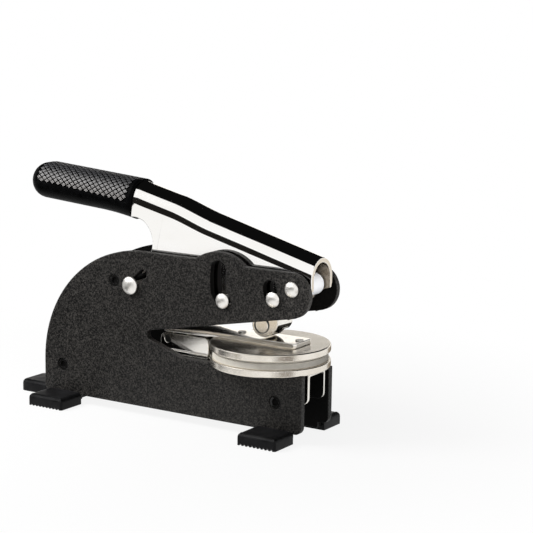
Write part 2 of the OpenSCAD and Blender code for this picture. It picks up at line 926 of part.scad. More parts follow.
right_side_plate();
left_side_plate();
rear_spacer();
top_spacer();
front_spacer();
right_frame_screws();
left_frame_screws();
front_right_foot();
front_left_foot();
rear_right_foot();
rear_left_foot();
tail_foot();
tail_bracket();
handle_lever();
handle_grip();
pivot_pin();
pivot_bush();
press_pin();
guide_pin();
press_link();
press_toe();
toe_rivet();
lock_pin();
lock_knobs();
lower_arm();
lower_die_holder();
counter_die();
lower_rivets();
upper_arm();
upper_die_holder();
embossing_die();
upper_rivets();
hinge_pin();
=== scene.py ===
# Desk embosser: finishes, rounded metal edges, knurled grip sleeve and rubber boots round the CAD frame
import json
import math
import bpy
from mathutils import Matrix, Vector


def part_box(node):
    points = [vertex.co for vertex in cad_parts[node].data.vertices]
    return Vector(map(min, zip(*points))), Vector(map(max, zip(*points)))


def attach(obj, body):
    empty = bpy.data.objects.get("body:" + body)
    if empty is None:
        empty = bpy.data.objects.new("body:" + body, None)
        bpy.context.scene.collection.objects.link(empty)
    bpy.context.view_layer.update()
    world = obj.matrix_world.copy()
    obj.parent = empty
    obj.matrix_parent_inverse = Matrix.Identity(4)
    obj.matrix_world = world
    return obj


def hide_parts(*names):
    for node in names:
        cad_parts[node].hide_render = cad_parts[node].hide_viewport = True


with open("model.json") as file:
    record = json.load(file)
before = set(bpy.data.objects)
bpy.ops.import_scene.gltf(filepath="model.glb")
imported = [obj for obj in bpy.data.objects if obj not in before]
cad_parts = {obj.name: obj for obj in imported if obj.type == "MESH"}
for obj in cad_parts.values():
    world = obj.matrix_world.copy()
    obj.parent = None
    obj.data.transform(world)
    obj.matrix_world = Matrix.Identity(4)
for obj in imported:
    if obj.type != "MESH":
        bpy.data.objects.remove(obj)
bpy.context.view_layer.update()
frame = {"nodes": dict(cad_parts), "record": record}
mm = 0.001
gripTilt = math.radians(4.45)
# Between these heights the pads' colour fades from pale to dark, a painted highlight
padHighlightHeights = dict(dark=84.0 * mm, pale=77.5 * mm)  # heights square to the grip between which its pads pale
bodyOf = {n: b for b, names in frame["record"]["behaviour"]["bodies"].items() for n in names}
print("frame loaded,", len(frame["nodes"]), "nodes")


# Selecting and finishing meshes

def clearSelection():
    if bpy.context.mode != "OBJECT":
        bpy.ops.object.mode_set(mode="OBJECT")
    bpy.ops.object.select_all(action="DESELECT")


def pick(piece):
    clearSelection()
    piece.select_set(True)
    bpy.context.view_layer.objects.active = piece


def editAll(piece):
    pick(piece)
    bpy.ops.object.mode_set(mode="EDIT")
    bpy.ops.mesh.select_all(action="SELECT")


# Leaves the piece in edit mode with the parts selected whose middle passes the test
def choose(piece, kind, test):
    pick(piece)
    bpy.ops.object.mode_set(mode="EDIT")
    bpy.ops.mesh.select_mode(type=kind)
    bpy.ops.mesh.select_all(action="DESELECT")
    bpy.ops.object.mode_set(mode="OBJECT")
    mesh = piece.data
    if kind == "VERT":
        for v in mesh.vertices:
            v.select = test(v.co)
    elif kind == "EDGE":
        for e in mesh.edges:
            a, b = (mesh.vertices[i].co for i in e.vertices)
            e.select = test((a + b) / 2, (b - a).normalized())
    else:
        for f in mesh.polygons:
            f.select = test(f.center, f.normal)
    bpy.ops.object.mode_set(mode="EDIT")


def applyModifiers(piece):
    pick(piece)
    for modifier in list(piece.modifiers):
        bpy.ops.object.modifier_apply(modifier=modifier.name)


def smooth(piece, degrees):
    pick(piece)
    bpy.ops.object.shade_smooth_by_angle(angle=math.radians(degrees))


def settle(piece, materials, body, slot, *nodes):
    pick(piece)
    bpy.ops.object.transform_apply(location=True, rotation=True, scale=True)
    for material in materials:
        piece.data.materials.append(material)
    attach(piece, body)
    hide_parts(*nodes)
    clearSelection()


# Material nodes

class Finish:
    def __init__(self, name, metallic):
        self.material = bpy.data.materials.new(name)
        self.material.use_nodes = True
        self.nodes = self.material.node_tree.nodes
        self.links = self.material.node_tree.links
        self.shader = self.nodes["Principled BSDF"]
        self.put("Metallic", metallic)
        self.coords = self.nodes.new("ShaderNodeTexCoord")
        self.height = None

    def put(self, name, value):
        self.shader.inputs[name].default_value = value

    def add(self, kind, **values):
        node = self.nodes.new(kind)
        for key, value in values.items():
            if key in node.inputs:
                node.inputs[key].default_value = value
            else:
                setattr(node, key, value)
        return node

    # Noise at a grain size in millimetres, drawn out along an axis by stretch
    def noise(self, grain, detail=3.0, stretch=(1, 1, 1), rough=0.55):
        mapping = self.add("ShaderNodeMapping")
        mapping.inputs["Scale"].default_value = [1 / (grain * mm * s) for s in stretch]
        self.links.new(self.coords.outputs["Object"], mapping.inputs["Vector"])
        noise = self.add("ShaderNodeTexNoise", Scale=1.0, Detail=detail, Roughness=rough)
        self.links.new(mapping.outputs["Vector"], noise.inputs["Vector"])
        return noise.outputs["Fac"]

    def ramp(self, value, low, high, start=0.35, stop=0.65):
        ramp = self.nodes.new("ShaderNodeValToRGB")
        ramp.color_ramp.elements[0].position = start
        ramp.color_ramp.elements[1].position = stop
        ramp.color_ramp.elements[0].color = (*low, 1)
        ramp.color_ramp.elements[1].color = (*high, 1)
        self.links.new(value, ramp.inputs["Fac"])
        return ramp.outputs["Color"]

    def span(self, value, low, high, start=0.3, stop=0.7):
        span = self.nodes.new("ShaderNodeMapRange")
        span.inputs["From Min"].default_value = start
        span.inputs["From Max"].default_value = stop
        span.inputs["To Min"].default_value = low
        span.inputs["To Max"].default_value = high
        self.links.new(value, span.inputs["Value"])
        return span.outputs["Result"]

    def drive(self, name, value):
        self.links.new(value, self.shader.inputs[name])

    # Each bump sits on the one before it, with its depth in millimetres
    def bump(self, value, depth, strength=1.0):
        bump = self.add("ShaderNodeBump", Strength=strength, Distance=depth * mm)
        self.links.new(value, bump.inputs["Height"])
        if self.height:
            self.links.new(self.height, bump.inputs["Normal"])
        self.height = bump.outputs["Normal"]
        self.links.new(self.height, self.shader.inputs["Normal"])


def makeBlackCoat():
    finish = Finish("blackCoat", metallic=0.0)
    speck = finish.noise(0.5, 2.0, rough=0.75)
    cloud = finish.noise(7.0, 2.0)
    grey = finish.ramp(speck, (0.001, 0.001, 0.001), (0.12, 0.112, 0.103), 0.42, 0.8)
    finish.drive("Base Color", grey)
    finish.drive("Roughness", finish.span(cloud, 0.44, 0.56))
    finish.bump(finish.noise(0.8, 1.0), 0.14, 0.6)
    finish.bump(speck, 0.1, 0.8)
    finish.put("Specular IOR Level", 0.22)
    return finish.material


# Painted shade: a near-black dull coat on the plates' inner sides, in slots and sockets, and in the lower
# arm's channel
def makeSlotShade():
    finish = Finish("slotShade", metallic=0.0)
    speck = finish.noise(0.5, 2.0)
    finish.drive("Base Color", finish.ramp(speck, (0.001, 0.001, 0.001), (0.006, 0.0055, 0.005)))
    finish.drive("Roughness", finish.span(speck, 0.65, 0.8))
    finish.bump(speck, 0.05, 0.5)
    finish.put("Specular IOR Level", 0.1)
    return finish.material


def makeBlackScrew():
    finish = Finish("blackScrew", metallic=0.0)
    scratch = finish.noise(0.25, 3.0, (1, 1, 4))
    grey = finish.ramp(scratch, (0.016, 0.016, 0.016), (0.045, 0.043, 0.041), 0.4, 0.7)
    finish.drive("Base Color", grey)
    finish.drive("Roughness", finish.span(scratch, 0.28, 0.46))
    finish.bump(scratch, 0.02, 0.4)
    finish.put("Specular IOR Level", 0.3)
    return finish.material


def makeFootRubber():
    finish = Finish("footRubber", metallic=0.0)
    grain = finish.noise(0.3, 4.0)
    dust = finish.noise(3.5, 3.0)
    grey = finish.ramp(dust, (0.006, 0.006, 0.0065), (0.015, 0.015, 0.016), 0.35, 0.7)
    finish.drive("Base Color", grey)
    finish.drive("Roughness", finish.span(dust, 0.34, 0.5))
    finish.bump(grain, 0.02, 0.35)
    finish.put("Specular IOR Level", 0.12)
    return finish.material


def makeGripRubber():
    finish = Finish("gripRubber", metallic=0.0)
    grain = finish.noise(0.22, 4.0)
    dust = finish.noise(2.2, 3.0)
    grey = finish.ramp(dust, (0.0006, 0.0006, 0.0007), (0.003, 0.003, 0.0034), 0.35, 0.7)
    finish.drive("Base Color", grey)
    finish.drive("Roughness", finish.span(dust, 0.4, 0.52))
    finish.bump(grain, 0.012, 0.3)
    finish.put("Specular IOR Level", 0.03)
    return finish.material


# Rubber of the raised diamonds, paler down the sides: a painted highlight
def makePadRubber():
    finish = Finish("padRubber", metallic=0.0)
    grain = finish.noise(0.22, 4.0)
    worn = finish.noise(1.6, 3.0)
    side = finish.add("ShaderNodeVectorMath", operation="DOT_PRODUCT")
    side.inputs[1].default_value = (math.sin(gripTilt), 0, math.cos(gripTilt))
    finish.links.new(finish.coords.outputs["Object"], side.inputs[0])
    depth = finish.span(side.outputs["Value"], 1.0, 0.0, padHighlightHeights["pale"], padHighlightHeights["dark"])
    grey = finish.ramp(depth, (0.05, 0.05, 0.053), (0.31, 0.295, 0.285), 0.0, 1.0)
    finish.drive("Base Color", grey)
    finish.drive("Roughness", finish.span(worn, 0.34, 0.5))
    finish.bump(grain, 0.012, 0.3)
    finish.put("Specular IOR Level", 0.4)
    return finish.material


def makeLeverChrome():
    finish = Finish("leverChrome", metallic=1.0)
    smear = finish.noise(9.0, 3.0, (3, 1, 1))
    finish.drive("Base Color", finish.ramp(smear, (0.93, 0.915, 0.885), (0.97, 0.96, 0.94)))
    finish.drive("Roughness", finish.span(smear, 0.03, 0.07))
    finish.bump(finish.noise(26.0, 1.0), 0.03, 0.2)
    return finish.material


# Inside of the lever's channel: chrome painted darker and browner than its outside as painted shade, and
# rougher
def makeShadedChannelChrome():
    finish = Finish("shadedChannelChrome", metallic=1.0)
    cloud = finish.noise(2.5, 3.0)
    finish.drive("Base Color", finish.ramp(cloud, (0.2, 0.165, 0.125), (0.38, 0.33, 0.27)))
    finish.drive("Roughness", finish.span(cloud, 0.24, 0.38))
    finish.bump(finish.noise(0.3, 2.0), 0.01, 0.3)
    return finish.material


def makePinSteel():
    finish = Finish("pinSteel", metallic=1.0)
    worn = finish.noise(1.4, 3.0)
    finish.drive("Base Color", finish.ramp(worn, (0.88, 0.855, 0.81), (0.97, 0.95, 0.905)))
    finish.drive("Roughness", finish.span(worn, 0.32, 0.42))
    finish.bump(finish.noise(0.2, 2.0), 0.004, 0.3)
    return finish.material


def makeSpacerSteel():
    finish = Finish("spacerSteel", metallic=1.0)
    drawn = finish.noise(0.25, 3.0, (1, 12, 1))
    finish.drive("Base Color", finish.ramp(drawn, (0.03, 0.03, 0.03), (0.07, 0.069, 0.067)))
    finish.drive("Roughness", finish.span(drawn, 0.28, 0.44))
    finish.bump(drawn, 0.01, 0.4)
    return finish.material


def makeWhiteNylon():
    finish = Finish("whiteNylon", metallic=0.0)
    cloud = finish.noise(1.8, 2.0)
    finish.drive("Base Color", finish.ramp(cloud, (0.93, 0.95, 0.98), (0.97, 0.98, 1.0)))
    finish.drive("Roughness", finish.span(cloud, 0.32, 0.46))
    finish.bump(finish.noise(0.2, 2.0), 0.01, 0.25)
    return finish.material


# Satin nickel of the die holders
def makeInsertNickel():
    finish = Finish("insertNickel", metallic=1.0)
    brushed = finish.noise(0.16, 4.0, (60, 1, 6))
    cloud = finish.noise(6.0, 2.0)
    finish.drive("Base Color", finish.ramp(cloud, (0.76, 0.71, 0.625), (0.85, 0.805, 0.73)))
    finish.drive("Roughness", finish.span(brushed, 0.2, 0.28))
    finish.bump(brushed, 0.002, 0.15)
    return finish.material


# Brighter nickel of the pressed arms, the link and the toe
def makeBrightNickel():
    finish = Finish("brightNickel", metallic=1.0)
    cloud = finish.noise(5.0, 3.0, (2, 1, 1))
    finish.drive("Base Color", finish.ramp(cloud, (0.83, 0.795, 0.73), (0.91, 0.885, 0.84)))
    finish.drive("Roughness", finish.span(cloud, 0.07, 0.14))
    finish.bump(finish.noise(14.0, 1.0), 0.03, 0.2)
    return finish.material


def makeDiePlastic():
    finish = Finish("diePlastic", metallic=0.0)
    cloud = finish.noise(2.4, 3.0)
    finish.drive("Base Color", finish.ramp(cloud, (0.74, 0.7, 0.62), (0.82, 0.78, 0.7)))
    finish.drive("Roughness", finish.span(cloud, 0.42, 0.58))
    finish.bump(finish.noise(0.3, 3.0), 0.012, 0.3)
    finish.put("Specular IOR Level", 0.3)
    return finish.material


finishes = {
    "blackCoat": makeBlackCoat(),
    "slotShade": makeSlotShade(),
    "blackScrew": makeBlackScrew(),
    "footRubber": makeFootRubber(),
    "gripRubber": makeGripRubber(),
    "padRubber": makePadRubber(),
    "leverChrome": makeLeverChrome(),
    "shadedChannelChrome": makeShadedChannelChrome(),
    "pinSteel": makePinSteel(),
    "spacerSteel": makeSpacerSteel(),
    "whiteNylon": makeWhiteNylon(),
    "insertNickel": makeInsertNickel(),
    "brightNickel": makeBrightNickel(),
    "diePlastic": makeDiePlastic(),
}
print("finishes made,", len(finishes))


# Metal and plastic pieces: the solid's shape with its sharp edges rounded over, by millimetres

hardPieces = {
    "right_side_plate": dict(piece="coatedRightPlate", finish="blackCoat", slot="black_coat", edge=0.35),
    "left_side_plate": dict(piece="coatedLeftPlate", finish="blackCoat", slot="black_coat", edge=0.35),
    "tail_bracket": dict(piece="coatedTailBracket", finish="blackCoat", slot="black_coat", edge=0.3),
    "rear_spacer": dict(piece="platedRearSpacer", finish="spacerSteel", slot="spacer_steel", edge=0.2),
    "top_spacer": dict(piece="platedTopSpacer", finish="spacerSteel", slot="spacer_steel", edge=0.2),
    "front_spacer": dict(piece="platedFrontSpacer", finish="spacerSteel", slot="spacer_steel", edge=0.2),
    "right_frame_screws": dict(piece="blackRightScrews", finish="blackScrew", slot="black_screw", edge=0.22),
    "left_frame_screws": dict(piece="blackLeftScrews", finish="blackScrew", slot="black_screw", edge=0.22),
    "handle_lever": dict(piece="chromeLever", finish="leverChrome", slot="lever_chrome", edge=0.3),
    "press_link": dict(piece="chromePressLink", finish="brightNickel", slot="lever_chrome", edge=0.3),
    "pivot_pin": dict(piece="domedPivotPin", finish="pinSteel", slot="pin_steel", edge=0.12),
    "press_pin": dict(piece="domedPressPin", finish="pinSteel", slot="pin_steel", edge=0.12),
    "guide_pin": dict(piece="domedGuidePin", finish="pinSteel", slot="pin_steel", edge=0.12),
    "lock_pin": dict(piece="steelLockPin", finish="pinSteel", slot="pin_steel", edge=0.1),
    "lock_knobs": dict(piece="polishedLockKnobs", finish="pinSteel", slot="pin_steel", edge=0.2),
    "hinge_pin": dict(piece="steelHingePin", finish="spacerSteel", slot="pin_steel", edge=0.15),
    "press_toe": dict(piece="steelPressToe", finish="brightNickel", slot="pin_steel", edge=0.25),
    "toe_rivet": dict(piece="steelToeRivet", finish="brightNickel", slot="pin_steel", edge=0.5),
    "lower_rivets": dict(piece="steelLowerRivets", finish="pinSteel", slot="pin_steel", edge=0.1),
    "upper_rivets": dict(piece="steelUpperRivets", finish="pinSteel", slot="pin_steel", edge=0.1),
    "pivot_bush": dict(piece="nylonPivotBush", finish="whiteNylon", slot="white_nylon", edge=0.2),
    "lower_arm": dict(piece="nickelLowerArm", finish="brightNickel", slot="insert_nickel", edge=0.4),
    "upper_arm": dict(piece="nickelUpperArm", finish="brightNickel", slot="insert_nickel", edge=0.3),
    "lower_die_holder": dict(
        piece="nickelLowerHolder", finish="insertNickel", slot="insert_nickel", edge=0.12),
    "upper_die_holder": dict(
        piece="nickelUpperHolder", finish="insertNickel", slot="insert_nickel", edge=0.12),
    "counter_die": dict(piece="paleCounterDie", finish="diePlastic", slot="die_plastic", edge=0.08),
    "embossing_die": dict(piece="paleEmbossingDie", finish="diePlastic", slot="die_plastic", edge=0.08),
}
rounding = dict(
    rings=3, sharpFrom=math.radians(40), smoothTo=38, mergeWithin=0.05 * mm, flatWithin=math.radians(0.4),
)

# Room round each pin at rest that its slot takes up: rear, front, below and above
slotRoom = {
    "guide_pin": (-7.0 * mm, 5.0 * mm, -4.5 * mm, 15.3 * mm),
    "press_pin": (-5.5 * mm, 4.5 * mm, -4.5 * mm, 8.0 * mm),
    "lock_knobs": (-4.0 * mm, 11.5 * mm, -4.0 * mm, 7.5 * mm),
}
slotBoxes = []
for node, (rear, front, below, above) in slotRoom.items():
    middle = sum(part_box(node), Vector()) / 2
    slotBoxes.append((middle.x + rear, middle.x + front, middle.z + below, middle.z + above))
channelFront = dict(length=22.0 * mm, top=23.5 * mm)
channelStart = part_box("lower_arm")[1].x - channelFront["length"]

# How far a face's normal leans along an axis, as the tests below count it
lean = dict(
    inner=0.7, slot=0.7, channelSide=0.5, channelFloor=0.7,
    lever=0.4, cutEdge=0.7, shank=0.3, rim=0.8,
)


# Inner side of a side plate, or wall of one of its slots
def inSlot(c, n):
    if n.y * c.y < -lean["inner"] * abs(c.y):
        return True
    inBox = any(rear < c.x < front and low < c.z < high for rear, front, low, high in slotBoxes)
    return inBox and abs(n.y) < lean["slot"]


# Inside of the lower arm's open front
def inChannel(c, n):
    inside = c.x > channelStart and c.z < channelFront["top"]
    return inside and (n.y * c.y < -lean["channelSide"] * abs(c.y) or abs(n.z) > lean["channelFloor"])


# The lever bar rises a little ahead of the grip: places along the frame, and how high it rises there
joggle = dict(
    front=21.5 * mm, crest=6.0 * mm, grip=-8.0 * mm, rise=0.85 * mm, gripRise=0.45 * mm,
    topFront=65.1 * mm, frontX=64.9 * mm, slope=math.tan(math.radians(14.9)),
    fullDepth=10.0 * mm, noDepth=17.0 * mm, axisDepth=7.45 * mm, cutStep=1.0 * mm,
)


# Height of the straight bar's top
def barTop(x):
    return joggle["topFront"] + (joggle["frontX"] - x) * joggle["slope"]


# Faces in a screw's hexagon socket, found by its spacer's axis
screwAxes = [sum(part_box(n), Vector()) / 2 for n in ("rear_spacer", "top_spacer", "front_spacer")]
socketRadius = 1.35 * mm


def inSocket(c, n):
    return any(math.hypot(c.x - a.x, c.z - a.z) < socketRadius for a in screwAxes)


# Faces of the lever's channel that look in towards its axis
def inLever(c, n):
    inward = Vector((0, -c.y, min(0.0, barTop(c.x) - joggle["axisDepth"] - c.z)))
    return n.dot(inward.normalized()) > lean["lever"]


# Cut edges of the lever's walls at its rear scoop, left satin
def onCutEdge(c, n):
    deep = barTop(c.x) - c.z > joggle["fullDepth"]
    return deep and abs(n.y) < lean["cutEdge"] and c.x < joggle["front"]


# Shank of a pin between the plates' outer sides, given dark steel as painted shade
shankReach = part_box("left_side_plate")[1].y


def inShadedShank(c, n):
    return abs(n.y) < lean["shank"] and abs(c.y) < shankReach


# Rim of the toe rivet's head, given dark steel as painted shade round the head
def onShadedRim(c, n):
    return abs(n.y) < lean["rim"]


# Second finishes by face: the near-black slot coat, the darker chrome inside the lever's channel, and the
# dark steel on pin shanks and the toe rivet's rim paint shade there; the lever's cut edges are left satin
innerFaces = {
    "right_side_plate": [("slotShade", inSlot)],
    "left_side_plate": [("slotShade", inSlot)],
    "lower_arm": [("slotShade", inChannel)],
    "handle_lever": [("shadedChannelChrome", inLever), ("pinSteel", onCutEdge)],
    "press_pin": [("spacerSteel", inShadedShank)],
    "guide_pin": [("spacerSteel", inShadedShank)],
    "toe_rivet": [("spacerSteel", onShadedRim)],
    "right_frame_screws": [("slotShade", inSocket)],
    "left_frame_screws": [("slotShade", inSocket)],
}


def ease(value, start, stop):
    share = min(max((value - start) / (stop - start), 0.0), 1.0)
    return share * share * (3 - 2 * share)


def joggleRise(x):
    if x > joggle["crest"]:
        return joggle["rise"] * ease(x, joggle["front"], joggle["crest"])
    share = min(1.0, (joggle["crest"] - x) / (joggle["crest"] - joggle["grip"]))
    return joggle["rise"] + (joggle["gripRise"] - joggle["rise"]) * share


def bendLever(piece):
    cuts = round((joggle["front"] - joggle["grip"]) / joggle["cutStep"])
    for i in range(cuts + 1):
        x = joggle["grip"] + i * joggle["cutStep"]
        editAll(piece)
        bpy.ops.mesh.bisect(plane_co=(x, 0, barTop(x)), plane_no=(1, 0, -joggle["slope"]))
    bpy.ops.object.mode_set(mode="OBJECT")
    for v in piece.data.vertices:
        depth = barTop(v.co.x) - v.co.z
        v.co.z += joggleRise(v.co.x) * ease(depth, joggle["noDepth"], joggle["fullDepth"])


def makeRoundedCopy(node, spec):
    piece = bpy.data.objects.new(spec["piece"], frame["nodes"][node].data.copy())
    piece.data.materials.clear()
    bpy.context.scene.collection.objects.link(piece)
    editAll(piece)
    bpy.ops.mesh.customdata_custom_splitnormals_clear()
    bpy.ops.mesh.remove_doubles(threshold=rounding["mergeWithin"])
    bpy.ops.mesh.dissolve_limited(angle_limit=rounding["flatWithin"])
    bpy.ops.object.mode_set(mode="OBJECT")
    if node == "handle_lever":
        bendLever(piece)
    bevel = piece.modifiers.new("roundedEdges", "BEVEL")
    bevel.width = spec["edge"] * mm
    bevel.segments = rounding["rings"]
    bevel.limit_method = "ANGLE"
    bevel.angle_limit = rounding["sharpFrom"]
    bevel.use_clamp_overlap = False
    bevel.miter_outer = "MITER_ARC"
    applyModifiers(piece)
    smooth(piece, rounding["smoothTo"])
    weighted = piece.modifiers.new("flatFaces", "WEIGHTED_NORMAL")
    weighted.keep_sharp = True
    applyModifiers(piece)
    settle(piece, [finishes[spec["finish"]]], bodyOf[node], spec["slot"], node)
    for i, (inner, test) in enumerate(innerFaces.get(node, []), 1):
        piece.data.materials.append(finishes[inner])
        for f in piece.data.polygons:
            if test(f.center, f.normal):
                f.material_index = i


for node, spec in hardPieces.items():
    makeRoundedCopy(node, spec)
print("rounded metal pieces made,", len(hardPieces))


# Grip sleeve: laid out flat with its diamonds, then rolled round the tang

grip = dict(
    tilt=gripTilt, length=49.15 * mm, height=13.6 * mm, width=16.8 * mm,
    endRadius=6.2 * mm, frontRound=0.6 * mm, rimLength=1.5 * mm, knurlIntoEnd=1.5 * mm,
    flare=1.2 * mm, flareLength=16 * mm, fan=0.115, fanLength=36 * mm,
    columns=16, rows=13, lowerRows=16, frontCuts=(0, 0.13, 0.5, 1), endCuts=4, gridLean=0.999,
    grooveDepth=0.24 * mm, grooveHalf=0.07 * mm, padSlope=0.1 * mm, borderWidth=0.08 * mm,
    padEdge=0.05 * mm, padRings=2, padEdgeFrom=math.radians(30), mergeWithin=0.01 * mm, smoothTo=34,
    wall=1.1 * mm, lipShare=0.3, boreLength=41 * mm, box=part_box("handle_grip"),
)


# Rolls a point of the flat sheet (length, girth, height) round the tang
def gripPoint(flat):
    low, high = grip["box"]
    radius = grip["height"] / 2
    front = Vector((high.x - radius * math.sin(grip["tilt"]), 0, low.z + radius * math.cos(grip["tilt"])))
    straight = grip["width"] / 2 - radius
    halfGirth = math.pi * radius + 2 * straight
    body = grip["length"] - grip["endRadius"]
    turn = max(0.0, (flat.x - body) / grip["endRadius"])
    along = min(flat.x, body) + grip["endRadius"] * math.sin(turn)
    across = radius - grip["endRadius"] * (1 - math.cos(turn))
    short = max(0.0, grip["frontRound"] - flat.x)
    across -= grip["frontRound"] - math.sqrt(max(0.0, grip["frontRound"] ** 2 - short ** 2))
    side = -1.0 if flat.y > 0 else 1.0
    spread = 1 + grip["fan"] * max(0.0, 1 - flat.x / grip["fanLength"])
    reach = min(abs(flat.y), halfGirth)
    edge = halfGirth / 2
    if reach < edge:
        reach *= spread
    else:
        reach = edge * spread + (reach - edge) * (halfGirth - edge * spread) / (halfGirth - edge)
    angle = min(max((reach - straight) / radius, 0.0), math.pi)
    flatTop = min(reach, straight)
    flatBottom = max(0.0, reach - straight - math.pi * radius)
    middle = Vector((-along, side * (flatTop - flatBottom), 0))
    outward = Vector((0, side * math.sin(angle), math.cos(angle)))
    normal = outward * math.cos(turn) + Vector((-math.sin(turn), 0, 0))
    local = middle + outward * across + normal * flat.z
    local.z -= grip["flare"] * max(0.0, 1 - flat.x / grip["flareLength"]) ** 2 * max(0.0, -outward.z)
    return front + Matrix.Rotation(grip["tilt"], 3, "Y") @ local


def makeGrip():
    radius = grip["height"] / 2
    girth = 2 * math.pi * radius + 4 * (grip["width"] / 2 - radius)
    body = grip["length"] - grip["endRadius"]
    total = body + grip["endRadius"] * math.pi / 2
    knurlEnd = body + grip["knurlIntoEnd"]
    cell = (knurlEnd - grip["rimLength"]) / grip["columns"]
    endCuts = grip["endCuts"]
    stations = [grip["frontRound"] * share for share in grip["frontCuts"]]
    stations += [grip["rimLength"] + cell * i for i in range(grip["columns"])]
    stations += [knurlEnd + (total - knurlEnd) * i / endCuts for i in range(endCuts + 1)]
    quarter = girth / 4
    below = [quarter + quarter * 2 * i / grip["lowerRows"] for i in range(1, grip["lowerRows"] // 2 + 1)]
    lines = [-y for y in reversed(below)]
    lines += [-quarter + 2 * quarter * i / grip["rows"] for i in range(grip["rows"] + 1)] + below
    clearSelection()
    bpy.ops.mesh.primitive_grid_add(x_subdivisions=len(stations) - 1, y_subdivisions=len(lines) - 1, size=2)
    piece = bpy.context.object
    piece.name = "knurledGripSleeve"
    for v in piece.data.vertices:
        v.co.x = stations[round((v.co.x + 1) / 2 * (len(stations) - 1))]
        v.co.y = lines[round((v.co.y + 1) / 2 * (len(lines) - 1))]
    half = quarter / grip["rows"]
    piece.data.materials.append(finishes["gripRubber"])
    piece.data.materials.append(finishes["padRubber"])

    def inKnurl(c, margin=0.0):
        inLength = grip["rimLength"] + margin < c.x < knurlEnd - margin
        return inLength and abs(c.y) < quarter - margin

    def alongGrid(d):
        return max(abs(d.x), abs(d.y)) > grip["gridLean"]

    # Poking the cells and dissolving their old sides leaves diamonds
    choose(piece, "FACE", lambda c, n: inKnurl(c))
    bpy.ops.mesh.poke()
    choose(piece, "EDGE", lambda c, d: inKnurl(c, half / 2) and alongGrid(d))
    bpy.ops.mesh.dissolve_edges(use_verts=False)
    choose(piece, "FACE", lambda c, n: inKnurl(c))
    bpy.ops.mesh.inset(thickness=grip["borderWidth"], depth=-grip["grooveDepth"])
    bpy.ops.object.mode_set(mode="OBJECT")
    diamonds = [f.index for f in piece.data.polygons if f.select and len(f.vertices) == 4]
    choose(piece, "FACE", lambda c, n: False)
    bpy.ops.object.mode_set(mode="OBJECT")
    for i in diamonds:
        piece.data.polygons[i].select = True
    bpy.ops.object.mode_set(mode="EDIT")
    bpy.ops.mesh.inset(thickness=grip["grooveHalf"], depth=0, use_individual=True)
    bpy.ops.mesh.inset(thickness=grip["padSlope"], depth=grip["grooveDepth"], use_individual=True)
    bpy.ops.object.mode_set(mode="OBJECT")
    for f in piece.data.polygons:
        if f.select:
            f.material_index = 1  # padRubber
    bevel = piece.modifiers.new("padEdges", "BEVEL")
    bevel.width = grip["padEdge"]
    bevel.segments = grip["padRings"]
    bevel.limit_method = "ANGLE"
    bevel.angle_limit = grip["padEdgeFrom"]
    split = piece.modifiers.new("finer", "SUBSURF")
    split.subdivision_type = "SIMPLE"
    split.levels = split.render_levels = 1
    applyModifiers(piece)
    for v in piece.data.vertices:
        v.co = gripPoint(v.co)
    editAll(piece)
    bpy.ops.mesh.remove_doubles(threshold=grip["mergeWithin"])
    bpy.ops.object.mode_set(mode="OBJECT")
    print("grip sleeve rolled,", len(piece.data.polygons), "faces,", len(diamonds), "diamonds")
    return piece


# Closes the rear end, then turns the front rim in and runs the bore back along the tang
def finishGrip(piece):
    axisPoint = gripPoint(Vector((0, 0, grip["frontRound"] - grip["height"] / 2)))
    ahead = Matrix.Rotation(grip["tilt"], 3, "Y") @ Vector((1, 0, 0))
    editAll(piece)
    bpy.ops.mesh.normals_make_consistent(inside=False)
    bpy.ops.object.mode_set(mode="OBJECT")
    edgeUse = {}
    for f in piece.data.polygons:
        for key in f.edge_keys:
            edgeUse[key] = edgeUse.get(key, 0) + 1

    def nearFront(i):
        return (piece.data.vertices[i].co - axisPoint).dot(ahead) > -grip["length"] / 2

    openVerts = {i for key, count in edgeUse.items() if count == 1 for i in key}
    frontVerts = {i for i in openVerts if nearFront(i)}
    rearVerts = openVerts - frontVerts
    for wanted, kind in ((rearVerts, "cap"), (frontVerts, "bore")):
        choose(piece, "VERT", lambda c: False)
        bpy.ops.object.mode_set(mode="OBJECT")
        for i in wanted:
            piece.data.vertices[i].select = True
        bpy.ops.object.mode_set(mode="EDIT")
        bpy.ops.mesh.select_mode(type="EDGE")
        if kind == "cap":
            bpy.ops.mesh.edge_face_add()
            continue
        inward = 1 - 2 * grip["wall"] / grip["height"]
        lip = 1 - grip["lipShare"] * (1 - inward)
        for scale, back in ((lip, 0.0), (inward, 0.0), (1, grip["boreLength"])):
            bpy.ops.mesh.extrude_region_move(TRANSFORM_OT_translate=dict(value=-ahead * back))
            bpy.ops.object.mode_set(mode="OBJECT")
            for v in piece.data.vertices:
                if v.select and scale < 1:
                    v.co = axisPoint + (v.co - axisPoint) * scale
            bpy.ops.object.mode_set(mode="EDIT")
        bpy.ops.mesh.edge_face_add()
    bpy.ops.mesh.select_all(action="SELECT")
    bpy.ops.mesh.normals_make_consistent(inside=False)
    bpy.ops.object.mode_set(mode="OBJECT")
    smooth(piece, grip["smoothTo"])
    settle(piece, [], bodyOf["handle_grip"], "grip_rubber", "handle_grip")


finishGrip(makeGrip())
print("grip done")


# Rubber boots: a block with rounded shoulders and a row of V grooves underneath

boots = dict(
    shoulder=1.6 * mm, corner=0.8 * mm, tailCorner=2.5 * mm, rings=6, grooves=9, grooveDepth=0.95 * mm,
    grooveShare=1 / 3, rootWithin=0.02, tailInward=1.6 * mm, plainEnd=1.5 * mm,
    slack=0.05 * mm, upright=0.9, smoothTo=32,
)


